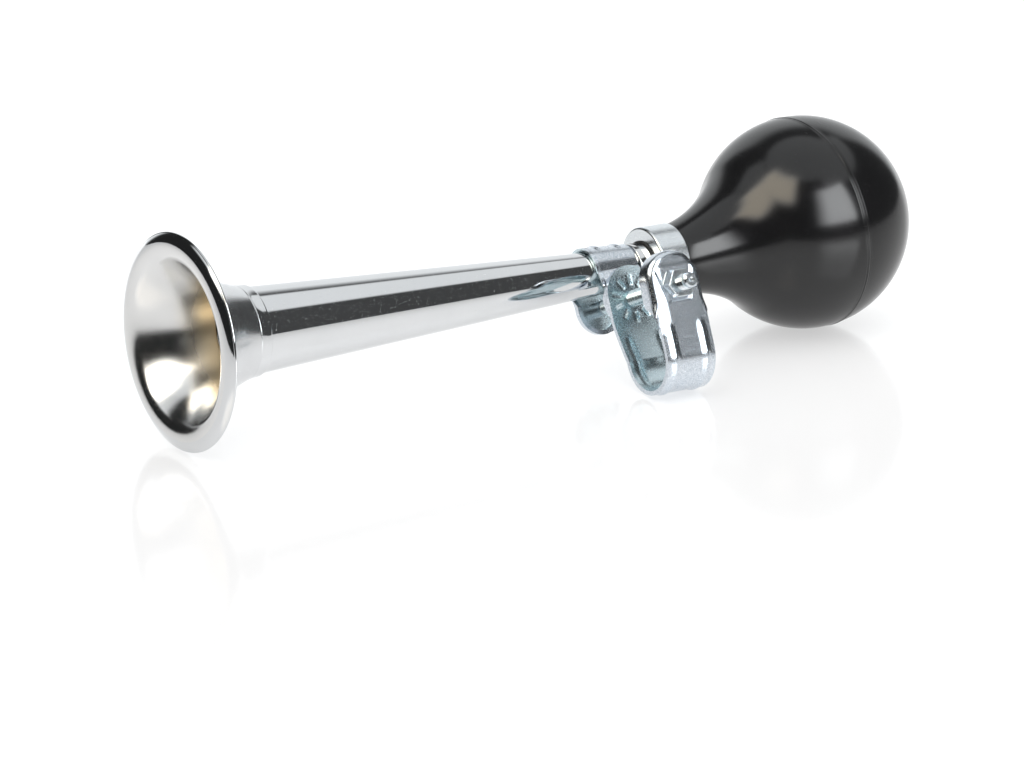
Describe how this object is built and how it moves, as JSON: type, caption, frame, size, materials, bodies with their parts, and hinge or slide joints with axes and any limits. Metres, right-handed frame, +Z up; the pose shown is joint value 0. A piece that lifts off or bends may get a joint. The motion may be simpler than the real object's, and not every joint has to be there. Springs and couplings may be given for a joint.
{
  "type": "bulb horn",
  "caption": "Chromed bulb horn with a flared bell, tapered barrel, black squeeze bulb on a ferrule and a bolted sheet-metal strap clamp for a handlebar.",
  "frame": {"origin": "on the floor under the middle of the part as it lies on its bell rim, bulb and clamp strap", "axes": "+X from the bell to the bulb, +Z up, -Y towards the side the clamp strap is bolted on"},
  "size_m": [0.3074, 0.0964, 0.0784],
  "materials": {
    "chrome": "polished chrome plate",
    "zinc": "bright zinc-plated pressed steel sheet",
    "zinc_bright": "bright zinc-plated drawn steel",
    "zinc_bolt": "zinc-plated steel fastener",
    "black_rubber": "matt black rubber washer",
    "bulb_rubber": "semi-gloss black moulded rubber",
    "brass": "plain turned and rolled brass"
  },
  "bodies": {
    "horn": {"bell": "chrome", "barrel": "chrome", "socket": "chrome", "gasket": "black_rubber", "ferrule": "zinc_bright", "bulb": "bulb_rubber", "reed_holder": "brass", "shallot": "brass", "reed_wedge": "brass"},
    "reed": {"reed": "brass"},
    "saddle": {"saddle": "zinc"},
    "strap": {"strap": "zinc", "nut": "zinc_bolt"},
    "bolt": {"bolt": "zinc_bolt"}
  },
  "joints": [
    {"name": "saddle_turn", "type": "hinge", "parent": "horn", "child": "saddle", "pos_m": [0.02549, 0.00636, 0.03505], "axis": [0.9998, 0, -0.0195], "continuous": true},
    {"name": "strap_swing", "type": "hinge", "parent": "saddle", "child": "strap", "pos_m": [0.02535, -0.00815, 0.02794], "axis": [0.0076, -0.9212, 0.3891], "continuous": true},
    {"name": "bolt_turn", "type": "hinge", "parent": "saddle", "child": "bolt", "pos_m": [0.02527, 0.00161, 0.02382], "axis": [0.0076, -0.9212, 0.3891], "continuous": true},
    {"name": "reed_beat", "type": "hinge", "parent": "horn", "child": "reed", "pos_m": [0.06041, 0.00636, 0.03562], "axis": [0, -1, 0], "range_deg": [0, 2.2], "stiffness_Nm_per_rad": 0.05}
  ]
}
